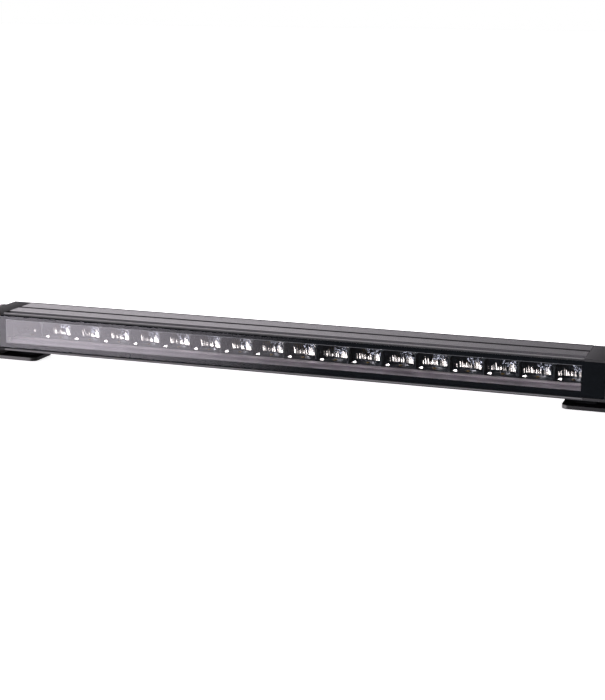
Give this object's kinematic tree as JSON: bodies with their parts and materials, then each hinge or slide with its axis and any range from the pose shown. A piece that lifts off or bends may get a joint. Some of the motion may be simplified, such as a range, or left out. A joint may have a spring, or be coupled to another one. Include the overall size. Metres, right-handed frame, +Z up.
{
  "type": "led light bar",
  "caption": "Slim single-row LED light bar with a finned extrusion, clear lens, reflector cups, a position light strip and tilting foot brackets.",
  "frame": {"origin": "on the mounting surface under the feet, below the centre of the overall box", "axes": "+X along the bar, to the right as seen by someone facing the lens; -Y the way the light shines; +Z up"},
  "size_m": [0.5484, 0.066, 0.045],
  "materials": {
    "anodised_extrusion": "satin black anodised, fine ribs",
    "cap_paint": "fine textured black powder coat",
    "bracket_paint": "smooth black powder coat",
    "clear_lens": "clear polished polycarbonate",
    "black_rubber": "matte black",
    "milky_strip": "translucent milky acrylic",
    "white_board": "white solder mask",
    "mirror_cup": "vacuum-metallised, black between the cups",
    "black_steel": "black oxide",
    "led_phosphor": "yellow phosphor under a clear dome",
    "green_board": "green solder mask",
    "red_insulation": "red PVC",
    "black_insulation": "black PVC",
    "black_plastic": "moulded glass-filled nylon",
    "brass": "nickel-free plain",
    "stainless": "bright A2",
    "nylon": "dark grey nylon"
  },
  "bodies": {
    "left_bracket": {"bracket_left": "bracket_paint"},
    "bar": {"housing": "anodised_extrusion", "end_cap_left": "cap_paint", "end_cap_right": "cap_paint", "cap_gasket_left": "black_rubber", "cap_gasket_right": "black_rubber", "cap_screw_left_1": "stainless", "cap_screw_left_2": "stainless", "cap_screw_left_3": "stainless", "cap_screw_left_4": "stainless", "cap_screw_right_1": "stainless", "cap_screw_right_2": "stainless", "cap_screw_right_3": "stainless", "cap_screw_right_4": "stainless", "friction_disc_left": "nylon", "friction_disc_right": "nylon", "flat_washer_left": "stainless", "flat_washer_right": "stainless", "pivot_bolt_left": "stainless", "pivot_bolt_right": "stainless", "front_lens": "clear_lens", "lens_seal": "black_rubber", "position_light_strip": "milky_strip", "position_emitter_left": "white_board", "position_emitter_right": "white_board", "led_board": "white_board", "reflector_left": "mirror_cup", "reflector_middle": "mirror_cup", "reflector_right": "mirror_cup", "reflector_screw_1": "black_steel", "reflector_screw_2": "black_steel", "reflector_screw_3": "black_steel", "led_01": "led_phosphor", "led_02": "led_phosphor", "led_03": "led_phosphor", "led_04": "led_phosphor", "led_05": "led_phosphor", "led_06": "led_phosphor", "led_07": "led_phosphor", "led_08": "led_phosphor", "led_09": "led_phosphor", "led_10": "led_phosphor", "led_11": "led_phosphor", "led_12": "led_phosphor", "led_13": "led_phosphor", "led_14": "led_phosphor", "led_15": "led_phosphor", "led_16": "led_phosphor", "led_17": "led_phosphor", "led_18": "led_phosphor", "driver_board": "green_board", "lead_red": "red_insulation", "lead_black": "black_insulation", "inlet_body": "black_plastic", "inlet_pins": "brass", "inlet_seal": "black_rubber", "inlet_nut": "brass", "breather_vent": "black_plastic"},
    "right_bracket": {"bracket_right": "bracket_paint"}
  },
  "joints": [
    {"name": "bar_tilt", "type": "hinge", "parent": "left_bracket", "child": "bar", "pos_m": [0, 0.002, 0.0288], "axis": [1, 0, 0], "range_deg": [-45, 22]},
    {"name": "right_bracket_turn", "type": "hinge", "parent": "bar", "child": "right_bracket", "pos_m": [0, 0.002, 0.0288], "axis": [1, 0, 0], "range_deg": [-23, 46]}
  ],
  "couplings": [
    {"joint": "right_bracket_turn", "follows": "bar_tilt", "ratio": -1}
  ]
}
